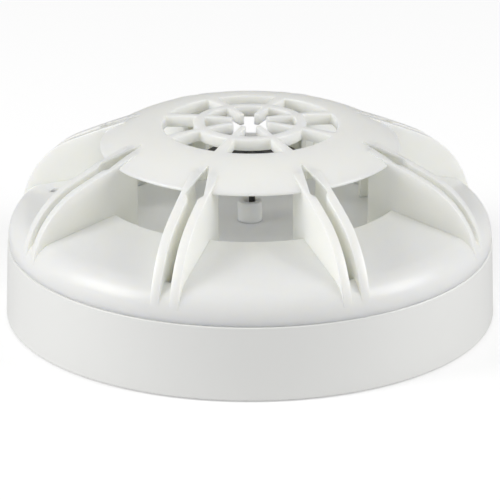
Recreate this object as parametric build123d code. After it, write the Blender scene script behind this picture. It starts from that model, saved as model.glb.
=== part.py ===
"""Point heat detector on its mounting base, 8-way symmetric, about 104 mm across.

Frame: +Z points out of the ceiling or wall plate towards the grille. The origin is the
centre of the base's flat back face. Each piece is drawn along the front (-Y) and turned
about Z to its azimuth, which is counted from the front towards +X.
"""
from build123d import *
import math
import os

# ---------------------------------------------------------------- driving dimensions (mm)
SYMMETRY = 8                  # windows, bays and fin pairs round the head

# overall sizes
BASE_FOOT_R = 52.0            # outer radius of the skirt at the wall
BASE_HEIGHT = 15.9            # height of the skirt

# mounting base
SKIRT_TAPER = 0.5             # how much smaller the skirt's free edge is
BASE_WALL = 2.2
BASE_PLATE = 2.5
BASE_FOOT_ROUND = 0.4
BASE_RIM_ROUND = 0.3
BASE_CORNER_ROUND = 1.0       # inside, between plate and skirt
CABLE_ENTRY_R = 11.0
FIXING_SPACING = 60.0         # between the two wall fixing slots
FIXING_SLOT_R = 2.2
FIXING_SLOT_LENGTH = 9.0
RIB_ROOT = 0.5                # how deep posts, ledges and stops are rooted in their wall

# head, outside
SEAM = 0.1                    # gap between base rim and head rim
HEAD_STEP = 0.2               # how far the head's side stands inside the skirt's edge
SHELL = 1.9                   # cover wall
RIM_BAND = 2.6                # height of the plain band under the channels
RIM_ROUND = 0.15
SHOULDER_R = 6.0              # round between head side and bay floor
BAY_SLOPE = 15.7              # degrees
SILL_R = 32.2                 # inner edge of a bay, where the window starts
SIDE_HEIGHT = 6.13            # from the rim to where side and bay floor would meet
SILL_ROUND = 0.5
PIT_WALL = 1.8
CHANNEL_END_R = 47.5          # outer end of the gaps between the fins of a pair

# fins
FIN_PAIR_WIDTH = 6.2
CHANNEL_WIDTH = 2.1
FIN_INNER_R = 27.2
FIN_ARC_R = 20.25             # outer edge, near the rim
FIN_STEP = 0.05               # how far that arc would stand out of the head's side
FIN_ARC_START = 64.0          # degrees above the horizontal, where the long arc takes over
FIN_TOP_R = 25.0              # where the outer edge leaves the crown
FIN_TOP_RISE = 3.85           # over the crown's edge
FIN_TOP_BULGE = 0.17
LEAST_FIN = 5.0               # volume under which an offcut isn't a fin

# crown and grille
WINDOW_HEIGHT = 9.4           # from the sill to the crown's edge
CROWN_ARC_R = 24.0
CROWN_ARC_CENTRE_R = 18.0
CROWN_ARC_DROP = 19.3         # centre of the arc under the crown's edge
CROWN_EDGE_R = 31.6
CROWN_WALL = 1.8
SLOT_TIP_R = 25.0             # arrow-head slot between the fins of a pair
SLOT_WIDE_R = 33.3
SLOT_NECK_R = 34.5
SLOT_WIDTH = 4.1
SLOT_TIP_WIDTH = 0.44
SLOT_SKIN = 0.7               # left over the wider room under the slot's edges
SLOT_ROOM_R = 26.2            # where that room starts
GRILLE_R = 18.5
GRILLE_RISE = 1.0             # how far the grille domes over the crown's edge
GRILLE_DEPTH = 2.5
RING_OUTER_R = 11.9
RING_INNER_R = 9.75
SPOKE_TIP_R = 4.0
SPOKE_TIP_WIDTH = 1.2
SPOKE_RING_WIDTH = 1.6
SPOKE_EDGE_WIDTH = 2.5
SPOKE_ROOT = 0.6              # how far the spokes run into the crown

# chamber floor plate
FLOOR_CLEARANCE = 0.4         # round the plate, inside the cover
FLOOR_PLATE = 2.0
CHAMBER_FLOOR_RISE = 1.6      # raised middle over the plate
CHAMBER_CLEARANCE = 0.4       # round the raised middle, inside the pit wall

# fasteners of the head
SCREW_SHANK_R = 1.5
SCREW_SLIP = 0.25             # clearance hole over shank
SCREW_BITE = 0.2              # thread depth in the pilot hole
SCREW_HEAD_R = 2.7
SCREW_HEAD = 2.0
COUNTERBORE_SLIP = 0.3
COUNTERBORE_DEPTH = 0.4       # over the screw head
SCREW_INSET = 9.0             # from the case's outside to the screws
BOSS_WALL = 1.7
PILLAR_WALL = 1.2             # round the counterbore
SCREW_TIP_CLEARANCE = 1.0
DRIVE_WIDTH = 0.9
DRIVE_DEPTH = 0.8
DRIVE_LENGTH = 3.5

# rear case of the head
BAYONET_ROOM = 3.8            # ring of air between the case and the skirt
CASE_WALL = 1.5
CASE_PLATE = 1.6
TERMINAL_ROOM = 1.4           # between the terminal screws and the case

# bayonet
LUGS = 3
LUG_ANGLE = 14.0
LUG_RISE = 0.8                # over the case's bottom
LUG_THICKNESS = 2.2
LUG_CLEARANCE = 0.4
BAYONET_CLEARANCE = 0.6       # radial
LEDGE_ANGLE = 20.0
LEDGE_THICKNESS = 1.8
STOP_ANGLE = 3.2
STOP_GAP_ANGLE = 0.7

# terminals in the base
CONTACTS = 4
CONTACT_AZIMUTH = 45.0
SCREEN_AZIMUTH = 180.0
POST_TOP_Z = 4.2
POST_INNER_R = 17.0
POST_OUTER_R = 28.0
POST_WIDTH = 9.0
STRIP = 0.6
STRIP_WIDTH = 7.0
STRIP_INNER_R = 17.5
STRIP_BEND_R = 27.5
STRIP_PAD_R = 29.5
STRIP_TIP_R = 36.5
TERMINAL_R = 22.0
CLAMP_SIZE = 7.0
CLAMP = 0.8
TERMINAL_SHANK_R = 1.75
TERMINAL_BITE = 0.2
TERMINAL_SLIP = 0.15
TERMINAL_HEAD_R = 3.0
TERMINAL_HEAD = 1.8
TERMINAL_TIP_Z = 0.9

# contacts under the head
WIPER = 0.5
WIPER_WIDTH = 5.0
WIPER_GAP = 0.35
WIPER_DROP = 0.75             # from the case to the contact's pad
WIPER_INNER_R = 23.5
WIPER_BEND_R = 28.5
WIPER_PAD_R = 31.0
WIPER_TIP_R = 35.5
RIVET_R = 1.1
RIVET_HEAD_R = 2.0
RIVET_HEAD = 0.5
RIVET_AT_R = 26.0

# circuit board
BOARD = 1.6
BOARD_GAP = 2.0               # under the board
BOARD_MARGIN = 1.3            # round the board
PILLAR_CLEARANCE = 0.4
BOARD_POST_R = 2.0
BOARD_POST_AT_R = 28.0

# components: sizes are length, width, height; places are x, y and a turn in degrees
CHIP_STAND_OFF = 0.15
PIN_WIDTH = 0.4
PIN_REACH = 0.9
PIN_THICKNESS = 0.2
MICROCONTROLLER_SIZE = (8.6, 3.9, 1.4)
MICROCONTROLLER_PLACE = (-17.0, 8.0, 25.0)
MICROCONTROLLER_PINS = (7, 1.15)          # pins a side and their pitch
RECTIFIER_SIZE = (5.0, 4.0, 1.6)
RECTIFIER_PLACE = (15.5, 19.0, 45.0)
RECTIFIER_PINS = (2, 2.6)
TRANSISTOR_SIZE = (2.9, 1.4, 1.0)
TRANSISTOR_PLACES = [(-15.0, -13.0, 30), (-10.0, -15.0, 30), (20.0, 3.0, 90)]
TRANSISTOR_PINS = (2, 1.9)
CAPACITOR_FOOT = (5.3, 5.3, 0.5)
CAPACITOR_CAN_R = 2.4
CAPACITOR_HEIGHT = 3.4
CAPACITOR_GROOVE_Z = 0.9
CAPACITOR_GROOVE = 0.3
CAPACITOR_NECK_R = 2.2
CAPACITOR_PLACE = (12.0, -14.0)
CERAMIC_SIZE = (2.0, 1.25, 1.0)
CERAMIC_PLACES = [(-8.5, 15.0, 0), (-5.0, 15.0, 0), (8.0, 9.0, 90), (19.0, -6.0, 90),
                  (-20.5, -4.0, 90), (4.5, -20.0, 0)]
RESISTOR_SIZE = (2.0, 1.25, 0.6)
RESISTOR_PLACES = [(-9.0, 20.0, 0), (-5.5, 20.0, 0), (-2.0, 20.0, 0), (10.5, 9.0, 90),
                   (13.0, 9.0, 90), (21.5, -6.0, 90), (-23.0, -4.0, 90), (8.0, -22.0, 0),
                   (-9.0, -22.0, 0), (-12.5, -22.0, 0)]
REFERENCE_SIZE = (3.2, 1.6, 1.1)
REFERENCE_PLACE = (-3.0, -10.0, 0)

# status light
LED_AZIMUTH = -100.4
LED_INSET = 1.1               # from the board's edge
LED_SIZE = (3.0, 2.0, 1.0)
LED_LENS_R = 0.7
LED_LENS = 0.2
PIPE_R = 0.95
PIPE_SLIP = 0.05
PIPE_RECESS = 0.5
PIPE_LED_GAP = 0.3
PIPE_FOOT_R = 1.6
PIPE_FOOT = 1.0

# thermistor
HOLDER_R = 2.6
HOLDER_BORE_R = 1.3
HOLDER_HEIGHT = 4.4           # over the chamber's floor
HOLDER_ROUND = 0.3
HOLDER_FLANGE_R = 4.6
HOLDER_FLANGE = 0.9
PROBE_OFFSET = 0.4            # the probe stands a little to one side of its holder
PROBE_R = 0.65
LEAD_R = 0.18
LEAD_PITCH = 0.6
COLLECTOR_R = 10.2
COLLECTOR_HUB_R = 4.6
COLLECTOR = 0.8
COLLECTOR_DROP = 3.3          # under the crown's edge
COLLECTOR_DISH = 0.8
BEAD_R = 1.25
BEAD_ROUND = 0.4
BEAD_DROP = 0.6               # under the collector

# ---------------------------------------------------------------- sizes that follow
PITCH = 360 / SYMMETRY
BASE_RIM_R = BASE_FOOT_R - SKIRT_TAPER
BASE_INNER_R = BASE_FOOT_R - BASE_WALL
HEAD_R = BASE_RIM_R - HEAD_STEP
HEAD_RIM_Z = BASE_HEIGHT + SEAM
FLOOR_TOP_Z = HEAD_RIM_Z + RIM_BAND
FLOOR_BOTTOM_Z = FLOOR_TOP_Z - FLOOR_PLATE
FLOOR_R = HEAD_R - SHELL - FLOOR_CLEARANCE
BAY_FALL = math.tan(math.radians(BAY_SLOPE))      # height lost for each mm outwards
SILL_Z = HEAD_RIM_Z + SIDE_HEIGHT + BAY_FALL * (HEAD_R - SILL_R)
CROWN_EDGE_Z = SILL_Z + WINDOW_HEIGHT
CROWN_ARC_CENTRE = (CROWN_ARC_CENTRE_R, CROWN_EDGE_Z - CROWN_ARC_DROP)
FIN_ARC_CENTRE = (HEAD_R + FIN_STEP - FIN_ARC_R, HEAD_RIM_Z)
FIN_TOP = (FIN_TOP_R, CROWN_EDGE_Z + FIN_TOP_RISE)
CHAMBER_FLOOR_Z = FLOOR_TOP_Z + CHAMBER_FLOOR_RISE
CHAMBER_R = SILL_R - CHAMBER_CLEARANCE
HOLLOW_Z = CHAMBER_FLOOR_Z - FLOOR_PLATE
CLAMP_Z = POST_TOP_Z + STRIP
TERMINAL_SEAT_Z = CLAMP_Z + CLAMP
TERMINAL_TOP_Z = TERMINAL_SEAT_Z + TERMINAL_HEAD
CASE_BOTTOM_Z = TERMINAL_TOP_Z + TERMINAL_ROOM
CASE_INSIDE_Z = CASE_BOTTOM_Z + CASE_PLATE
CASE_R = BASE_INNER_R - BAYONET_ROOM
CASE_SCREW_R = CASE_R - SCREW_INSET
COUNTERBORE_R = SCREW_HEAD_R + COUNTERBORE_SLIP
COUNTERBORE = SCREW_HEAD + COUNTERBORE_DEPTH
PILLAR_R = COUNTERBORE_R + PILLAR_WALL
BOSS_R = SCREW_SHANK_R + BOSS_WALL
SCREW_CLEARANCE_R = SCREW_SHANK_R + SCREW_SLIP
WIPER_FLAT_Z = CASE_BOTTOM_Z - WIPER
WIPER_PAD_Z = WIPER_FLAT_Z - WIPER_DROP
STRIP_RISE_Z = WIPER_PAD_Z - WIPER_GAP - STRIP
LUG_BOTTOM_Z = CASE_BOTTOM_Z + LUG_RISE
LUG_R = BASE_INNER_R - BAYONET_CLEARANCE
LEDGE_R = CASE_R + BAYONET_CLEARANCE
LEDGE_Z = LUG_BOTTOM_Z + LUG_THICKNESS + LUG_CLEARANCE
BOARD_Z = CASE_INSIDE_Z + BOARD_GAP
BOARD_TOP_Z = BOARD_Z + BOARD
BOARD_R = CASE_R - CASE_WALL - BOARD_MARGIN
LED_AT_R = BOARD_R - LED_INSET
PIPE_HOLE_R = PIPE_R + PIPE_SLIP
HOLDER_TOP_Z = CHAMBER_FLOOR_Z + HOLDER_HEIGHT
COLLECTOR_Z = CROWN_EDGE_Z - COLLECTOR_DROP
BEAD_BOTTOM_Z = COLLECTOR_Z - BEAD_DROP
TOP_Z = CROWN_EDGE_Z + CROWN_ARC_R        # above everything, for cutters
PAST_ALL = 2.0                # how far a cutter or a wedge reaches past what it cuts
PAIR_AZIMUTHS = [PITCH * (i + 0.5) for i in range(SYMMETRY)]
CASE_SCREW_AZIMUTHS = [0, 90, 180, 270]
CONTACT_AZIMUTHS = [CONTACT_AZIMUTH + 90 * i for i in range(CONTACTS)]
TERMINAL_AZIMUTHS = CONTACT_AZIMUTHS + [SCREEN_AZIMUTH]
UP = (Align.CENTER, Align.CENTER, Align.MIN)
# local x runs outwards along the front, local y runs up
FRONT = Plane(origin=(0, 0, 0), x_dir=(0, -1, 0), z_dir=(-1, 0, 0))


# ---------------------------------------------------------------- drawing helpers
def turned(shape, azimuth):
    """The shape, turned about Z from the front to the azimuth."""
    return Rot(0, 0, azimuth) * shape


def rod(radius, low, high, at_r=0.0, azimuth=0.0, x=0.0):
    """A round bar between two heights."""
    bar = Pos(x, -at_r, low) * Cylinder(radius, high - low, align=UP)
    return turned(bar, azimuth)


def tube(outer, inner, low, high):
    return rod(outer, low, high) - rod(inner, low, high)


def radial_box(r_in, r_out, width, low, high, azimuth=0.0):
    """A block along a radius, from r_in to r_out."""
    middle = (r_in + r_out) / 2
    block = Pos(0, -middle, low) * Box(width, r_out - r_in, high - low, align=UP)
    return turned(block, azimuth)


def revolved(outline):
    """A closed outline in (radius, height), turned a full turn about Z."""
    return revolve(Plane.XZ * make_face(outline), Axis.Z)


def sector(r_in, r_out, low, high, angle, azimuth):
    """Part of a ring, centred on an azimuth."""
    turn = math.radians(angle / 2)
    half = r_out / math.cos(turn) + PAST_ALL
    wedge = Polyline((0, 0), (-half * math.sin(turn), -half * math.cos(turn)),
                     (half * math.sin(turn), -half * math.cos(turn)), close=True)
    block = Pos(0, 0, low) * extrude(make_face(wedge), high - low)
    return turned(block & tube(r_out, r_in, low, high), azimuth)


def bent_strip(points, thickness, width, azimuth):
    """A flat strip bent along a line of (radius, height) points, given on its lower face."""
    upper = [(r, z + thickness) for r, z in reversed(points)]
    outline = make_face(Polyline(*points, *upper, close=True))
    strip = extrude(FRONT * outline, width / 2, both=True)
    return turned(strip, azimuth)


def group(shapes):
    return Compound(children=[s for shape in shapes for s in shape.solids()])


# ---------------------------------------------------------------- mounting base
def base_moulding():
    outline = FilletPolyline(
        (0, 0), (BASE_FOOT_R, 0), (BASE_RIM_R, BASE_HEIGHT), (BASE_INNER_R, BASE_HEIGHT),
        (BASE_INNER_R, BASE_PLATE), (0, BASE_PLATE),
        radius=[0, BASE_FOOT_ROUND, BASE_RIM_ROUND, BASE_RIM_ROUND, BASE_CORNER_ROUND, 0],
        close=True)
    body = revolved(outline)
    body -= rod(CABLE_ENTRY_R, 0, BASE_PLATE)
    for side in (-1, 1):
        straight = FIXING_SLOT_LENGTH - 2 * FIXING_SLOT_R
        slot = SlotCenterToCenter(straight, 2 * FIXING_SLOT_R)
        body -= Pos(side * FIXING_SPACING / 2, 0, 0) * extrude(slot, BASE_PLATE)
    for azimuth in TERMINAL_AZIMUTHS:
        body += radial_box(POST_INNER_R, POST_OUTER_R, POST_WIDTH, BASE_PLATE - RIB_ROOT,
                           POST_TOP_Z, azimuth)
        body -= rod(TERMINAL_SHANK_R - TERMINAL_BITE, TERMINAL_TIP_Z, POST_TOP_Z, TERMINAL_R,
                    azimuth)
    root_r = BASE_INNER_R + RIB_ROOT
    stop_turn = -(LUG_ANGLE + STOP_ANGLE) / 2 - STOP_GAP_ANGLE
    for i in range(LUGS):
        azimuth = i * 360 / LUGS
        ledge_turn = azimuth + stop_turn - STOP_ANGLE / 2 + LEDGE_ANGLE / 2
        body += sector(LEDGE_R, root_r, LEDGE_Z, LEDGE_Z + LEDGE_THICKNESS, LEDGE_ANGLE,
                       ledge_turn)
        body += sector(LEDGE_R, root_r, LUG_BOTTOM_Z, LEDGE_Z + LEDGE_THICKNESS, STOP_ANGLE,
                       azimuth + stop_turn)
    return body


def terminal_hole(azimuth):
    """Clearance for a terminal screw through strip and clamp."""
    return rod(TERMINAL_SHANK_R + TERMINAL_SLIP, POST_TOP_Z, TERMINAL_SEAT_Z, TERMINAL_R, azimuth)


def base_contact(azimuth):
    points = [(STRIP_INNER_R, POST_TOP_Z), (STRIP_BEND_R, POST_TOP_Z),
              (STRIP_PAD_R, STRIP_RISE_Z), (STRIP_TIP_R, STRIP_RISE_Z)]
    return bent_strip(points, STRIP, STRIP_WIDTH, azimuth) - terminal_hole(azimuth)


def screen_contact():
    points = [(STRIP_INNER_R, POST_TOP_Z), (STRIP_BEND_R, POST_TOP_Z)]
    strip = bent_strip(points, STRIP, STRIP_WIDTH, SCREEN_AZIMUTH)
    return strip - terminal_hole(SCREEN_AZIMUTH)


def clamp_washers():
    half = CLAMP_SIZE / 2
    return group(radial_box(TERMINAL_R - half, TERMINAL_R + half, CLAMP_SIZE, CLAMP_Z,
                            TERMINAL_SEAT_Z, azimuth) - terminal_hole(azimuth)
                 for azimuth in TERMINAL_AZIMUTHS)


def terminal_screws():
    screws = []
    for azimuth in TERMINAL_AZIMUTHS:
        screw = rod(TERMINAL_SHANK_R, TERMINAL_TIP_Z, TERMINAL_SEAT_Z, TERMINAL_R, azimuth)
        screw += rod(TERMINAL_HEAD_R, TERMINAL_SEAT_Z, TERMINAL_TOP_Z, TERMINAL_R, azimuth)
        screw -= radial_box(TERMINAL_R - TERMINAL_HEAD_R, TERMINAL_R + TERMINAL_HEAD_R,
                            DRIVE_WIDTH, TERMINAL_TOP_Z - DRIVE_DEPTH, TERMINAL_TOP_Z, azimuth)
        screws.append(screw)
    return group(screws)


# ---------------------------------------------------------------- outer cover of the head
def cover_shell():
    """The plain shell before slots: side, shoulder, bay floors and pit wall."""
    corner_z = HEAD_RIM_Z + SIDE_HEIGHT
    drop = SHELL / math.cos(math.radians(BAY_SLOPE))
    pit_r = SILL_R + PIT_WALL
    inner_r = HEAD_R - SHELL
    outline = FilletPolyline(
        (HEAD_R, HEAD_RIM_Z), (HEAD_R, corner_z), (SILL_R, SILL_Z), (SILL_R, FLOOR_TOP_Z),
        (pit_r, FLOOR_TOP_Z), (pit_r, SILL_Z - BAY_FALL * PIT_WALL - drop),
        (inner_r, corner_z + BAY_FALL * SHELL - drop), (inner_r, HEAD_RIM_Z),
        radius=[RIM_ROUND, SHOULDER_R, SILL_ROUND, 0, 0, SILL_ROUND, SHOULDER_R - SHELL, 0],
        close=True)
    return revolved(outline)


def bay_surface_z(radius):
    """Height of the sloping bay floor at a radius."""
    return SILL_Z - BAY_FALL * (radius - SILL_R)


def channel_cutter(azimuth):
    """Arrow-head slot and the narrow channel between the two fins of a pair."""
    wide, neck, far = SLOT_WIDTH / 2, CHANNEL_WIDTH / 2, HEAD_R + PAST_ALL
    tip = SLOT_TIP_WIDTH / 2
    outline = Polyline((tip, -SLOT_TIP_R), (wide, -SLOT_WIDE_R), (neck, -SLOT_NECK_R),
                       (neck, -far), (-neck, -far), (-neck, -SLOT_NECK_R),
                       (-wide, -SLOT_WIDE_R), (-tip, -SLOT_TIP_R), close=True)
    return turned(Pos(0, 0, FLOOR_TOP_Z) * extrude(make_face(outline), TOP_Z), azimuth)


def slot_room(azimuth):
    """Wider room under the skin around an arrow-head slot."""
    lowered = Pos(0, -SLOT_SKIN) * fin_outline()
    room = extrude(FRONT * lowered, SLOT_WIDTH / 2, both=True)
    room &= radial_box(SLOT_ROOM_R, SLOT_WIDE_R, SLOT_WIDTH, FLOOR_TOP_Z, TOP_Z)
    return turned(room, azimuth)


def screw_boss(azimuth):
    return rod(BOSS_R, FLOOR_TOP_Z, bay_surface_z(CASE_SCREW_R) - SHELL / 2, CASE_SCREW_R,
               azimuth)


def screw_tip_z():
    return bay_surface_z(CASE_SCREW_R) - SHELL - SCREW_TIP_CLEARANCE


def outer_cover():
    cover = cover_shell()
    for azimuth in CASE_SCREW_AZIMUTHS:
        cover += screw_boss(azimuth)
        cover -= rod(SCREW_SHANK_R - SCREW_BITE, FLOOR_TOP_Z, screw_tip_z(), CASE_SCREW_R,
                     azimuth)
    for azimuth in PAIR_AZIMUTHS:
        cover -= radial_box(FIN_INNER_R, CHANNEL_END_R, FIN_PAIR_WIDTH, FLOOR_TOP_Z, TOP_Z,
                            azimuth)
    return cover - rod(PIPE_HOLE_R, FLOOR_TOP_Z, TOP_Z, LED_AT_R, LED_AZIMUTH)


def fin_outline():
    """Side view of a fin in (radius, height)."""
    centre_r, centre_z = FIN_ARC_CENTRE
    turn = math.radians(FIN_ARC_START)
    shoulder = (centre_r + FIN_ARC_R * math.cos(turn), centre_z + FIN_ARC_R * math.sin(turn))
    half_turn = math.asin((FLOOR_TOP_Z - centre_z) / FIN_ARC_R)
    mid_turn = (turn + half_turn) / 2
    middle = (centre_r + FIN_ARC_R * math.cos(mid_turn),
              centre_z + FIN_ARC_R * math.sin(mid_turn))
    foot = (centre_r + FIN_ARC_R * math.cos(half_turn), FLOOR_TOP_Z)
    long_middle = ((FIN_TOP[0] + shoulder[0]) / 2, (FIN_TOP[1] + shoulder[1]) / 2 + FIN_TOP_BULGE)
    lines = [
        ThreePointArc(FIN_TOP, long_middle, shoulder),
        ThreePointArc(shoulder, middle, foot),
        Polyline(foot, (FIN_TOP[0], FLOOR_TOP_Z), FIN_TOP),
    ]
    return make_face(Curve() + lines)


def guard_fins(neighbours):
    """Two parallel fins at each pair azimuth, as separate solids."""
    pair = extrude(FRONT * fin_outline(), FIN_PAIR_WIDTH / 2, both=True)
    pair -= radial_box(0, FIN_INNER_R, 2 * FIN_PAIR_WIDTH, 0, TOP_Z)
    fins = []
    for azimuth in PAIR_AZIMUTHS:
        blades = turned(pair, azimuth) - channel_cutter(azimuth) - slot_room(azimuth)
        for neighbour in neighbours:
            blades -= neighbour
        fins.extend(s for s in blades.solids() if s.volume > LEAST_FIN)
    return group(fins)


def crown_top_z(radius, inset=0.0):
    centre_r, centre_z = CROWN_ARC_CENTRE
    return centre_z + math.sqrt((CROWN_ARC_R - inset) ** 2 - (radius - centre_r) ** 2)


def crown_ring():
    """Domed ring from the grille's edge to the crown's edge."""
    inset = CROWN_WALL
    flat_r = CROWN_ARC_CENTRE[0] + math.sqrt(
        (CROWN_ARC_R - inset) ** 2 - (CROWN_EDGE_Z - CROWN_ARC_CENTRE[1]) ** 2)
    middle = (GRILLE_R + CROWN_EDGE_R) / 2
    inner_middle = (GRILLE_R + flat_r) / 2
    lines = [
        ThreePointArc((GRILLE_R, crown_top_z(GRILLE_R)), (middle, crown_top_z(middle)),
                      (CROWN_EDGE_R, crown_top_z(CROWN_EDGE_R))),
        Polyline((CROWN_EDGE_R, crown_top_z(CROWN_EDGE_R)), (CROWN_EDGE_R, CROWN_EDGE_Z),
                 (flat_r, CROWN_EDGE_Z)),
        ThreePointArc((flat_r, CROWN_EDGE_Z), (inner_middle, crown_top_z(inner_middle, inset)),
                      (GRILLE_R, crown_top_z(GRILLE_R, inset))),
        Line((GRILLE_R, crown_top_z(GRILLE_R, inset)), (GRILLE_R, crown_top_z(GRILLE_R))),
    ]
    return revolved(Curve() + lines)


def grille_plan():
    """Spokes and inner ring, seen from above."""
    plan = Circle(RING_OUTER_R) - Circle(RING_INNER_R)
    reach = GRILLE_R + SPOKE_ROOT
    tip, ring, edge = SPOKE_TIP_WIDTH / 2, SPOKE_RING_WIDTH / 2, SPOKE_EDGE_WIDTH / 2
    for azimuth in PAIR_AZIMUTHS:
        spoke = Polyline((-tip, -SPOKE_TIP_R), (-ring, -RING_OUTER_R), (-edge, -reach),
                         (edge, -reach), (ring, -RING_OUTER_R), (tip, -SPOKE_TIP_R), close=True)
        plan += turned(make_face(spoke), azimuth)
    return plan


def grille():
    dome_r = (GRILLE_R ** 2 + GRILLE_RISE ** 2) / (2 * GRILLE_RISE)
    top = crown_top_z(GRILLE_R) + GRILLE_RISE
    outer = Pos(0, 0, top - dome_r) * Sphere(dome_r)
    inner = Pos(0, 0, top - dome_r) * Sphere(dome_r - GRILLE_DEPTH)
    low = crown_top_z(GRILLE_R) - GRILLE_DEPTH - PAST_ALL
    bars = Pos(0, 0, low) * extrude(grille_plan(), top + PAST_ALL - low)
    return (bars & outer) - inner


def crown_grille():
    crown = crown_ring() + grille()
    for azimuth in PAIR_AZIMUTHS:
        crown -= channel_cutter(azimuth)
        crown -= slot_room(azimuth)
    return crown


# ---------------------------------------------------------------- inside of the head
def chamber_floor():
    """Plate under the cover, raised in the middle to make the sensing chamber's floor."""
    hollow_r = CHAMBER_R - FLOOR_PLATE
    outline = Polyline((0, CHAMBER_FLOOR_Z), (CHAMBER_R, CHAMBER_FLOOR_Z),
                       (CHAMBER_R, FLOOR_TOP_Z), (FLOOR_R, FLOOR_TOP_Z),
                       (FLOOR_R, FLOOR_BOTTOM_Z), (hollow_r, FLOOR_BOTTOM_Z),
                       (hollow_r, HOLLOW_Z), (0, HOLLOW_Z), close=True)
    plate = revolved(outline) - rod(HOLDER_R, HOLLOW_Z, CHAMBER_FLOOR_Z)
    for azimuth in CASE_SCREW_AZIMUTHS:
        plate -= rod(SCREW_CLEARANCE_R, FLOOR_BOTTOM_Z, FLOOR_TOP_Z, CASE_SCREW_R, azimuth)
    return plate - rod(PIPE_HOLE_R, FLOOR_BOTTOM_Z, FLOOR_TOP_Z, LED_AT_R, LED_AZIMUTH)


def rear_case():
    case = tube(CASE_R, CASE_R - CASE_WALL, CASE_BOTTOM_Z, FLOOR_BOTTOM_Z)
    case += rod(CASE_R - CASE_WALL / 2, CASE_BOTTOM_Z, CASE_INSIDE_Z)
    for azimuth in CASE_SCREW_AZIMUTHS:
        case += rod(PILLAR_R, CASE_BOTTOM_Z, FLOOR_BOTTOM_Z, CASE_SCREW_R, azimuth)
        case -= rod(SCREW_CLEARANCE_R, CASE_BOTTOM_Z, FLOOR_BOTTOM_Z, CASE_SCREW_R, azimuth)
        case -= rod(COUNTERBORE_R, CASE_BOTTOM_Z, CASE_BOTTOM_Z + COUNTERBORE, CASE_SCREW_R,
                    azimuth)
    for azimuth in CONTACT_AZIMUTHS:
        case += rod(BOARD_POST_R, CASE_BOTTOM_Z, BOARD_Z, BOARD_POST_AT_R, azimuth - PITCH / 2)
        case -= rod(RIVET_R, CASE_BOTTOM_Z, CASE_INSIDE_Z, RIVET_AT_R, azimuth)
    for i in range(LUGS):
        case += sector(CASE_R - CASE_WALL / 2, LUG_R, LUG_BOTTOM_Z,
                       LUG_BOTTOM_Z + LUG_THICKNESS, LUG_ANGLE, i * 360 / LUGS)
    return case


def case_screws():
    """Cross-drive screws that hold case, chamber floor and cover together."""
    seat = CASE_BOTTOM_Z + COUNTERBORE
    low = seat - SCREW_HEAD
    screws = []
    for azimuth in CASE_SCREW_AZIMUTHS:
        screw = rod(SCREW_SHANK_R, seat, screw_tip_z(), CASE_SCREW_R, azimuth)
        screw += rod(SCREW_HEAD_R, low, seat, CASE_SCREW_R, azimuth)
        for along, across in ((DRIVE_WIDTH, DRIVE_LENGTH), (DRIVE_LENGTH, DRIVE_WIDTH)):
            screw -= radial_box(CASE_SCREW_R - along / 2, CASE_SCREW_R + along / 2, across, low,
                                low + DRIVE_DEPTH, azimuth)
        screws.append(screw)
    return group(screws)


def head_contact(azimuth):
    """Spring strip under the head that bears on the base contact's pad."""
    points = [(WIPER_INNER_R, WIPER_FLAT_Z), (WIPER_BEND_R, WIPER_FLAT_Z),
              (WIPER_PAD_R, WIPER_PAD_Z), (WIPER_TIP_R, WIPER_PAD_Z)]
    strip = bent_strip(points, WIPER, WIPER_WIDTH, azimuth)
    return strip - rod(RIVET_R, WIPER_FLAT_Z, CASE_BOTTOM_Z, RIVET_AT_R, azimuth)


def contact_rivets():
    return group(rod(RIVET_R, WIPER_FLAT_Z, BOARD_Z, RIVET_AT_R, azimuth)
                 + rod(RIVET_HEAD_R, WIPER_FLAT_Z - RIVET_HEAD, WIPER_FLAT_Z, RIVET_AT_R, azimuth)
                 for azimuth in CONTACT_AZIMUTHS)


# ---------------------------------------------------------------- electronics
def circuit_board():
    board = rod(BOARD_R, BOARD_Z, BOARD_TOP_Z)
    for azimuth in CASE_SCREW_AZIMUTHS:
        board -= rod(PILLAR_R + PILLAR_CLEARANCE, BOARD_Z, BOARD_TOP_Z, CASE_SCREW_R, azimuth)
    for side in (-1, 1):
        board -= rod(LEAD_R, BOARD_Z, BOARD_TOP_Z, x=PROBE_OFFSET + side * LEAD_PITCH / 2)
    return board


def on_board(shape, x, y, turn=0.0):
    """A component, put down on the board."""
    return Pos(x, y, BOARD_TOP_Z) * Rot(0, 0, turn) * shape


def plain_chips(size, places):
    return group(on_board(Box(*size, align=UP), *place) for place in places)


def leaded_chip(size, pins):
    """A chip with a row of bent pins down each long side."""
    length, width, height = size
    count, pin_pitch = pins
    body = Pos(0, 0, CHIP_STAND_OFF) * Box(length, width, height, align=UP)
    for side in (-1, 1):
        for i in range(count):
            at = (i - (count - 1) / 2) * pin_pitch
            toe = Box(PIN_WIDTH, PIN_REACH, PIN_THICKNESS, align=UP)
            leg = Box(PIN_WIDTH, PIN_THICKNESS, height / 2, align=UP)
            body += Pos(at, side * (width + PIN_REACH) / 2, 0) * toe
            body += Pos(at, side * (width + PIN_THICKNESS) / 2, 0) * leg
    return body


def microcontroller():
    return on_board(leaded_chip(MICROCONTROLLER_SIZE, MICROCONTROLLER_PINS),
                    *MICROCONTROLLER_PLACE)


def bridge_rectifier():
    return on_board(leaded_chip(RECTIFIER_SIZE, RECTIFIER_PINS), *RECTIFIER_PLACE)


def transistors():
    return group(on_board(leaded_chip(TRANSISTOR_SIZE, TRANSISTOR_PINS), *place)
                 for place in TRANSISTOR_PLACES)


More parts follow.
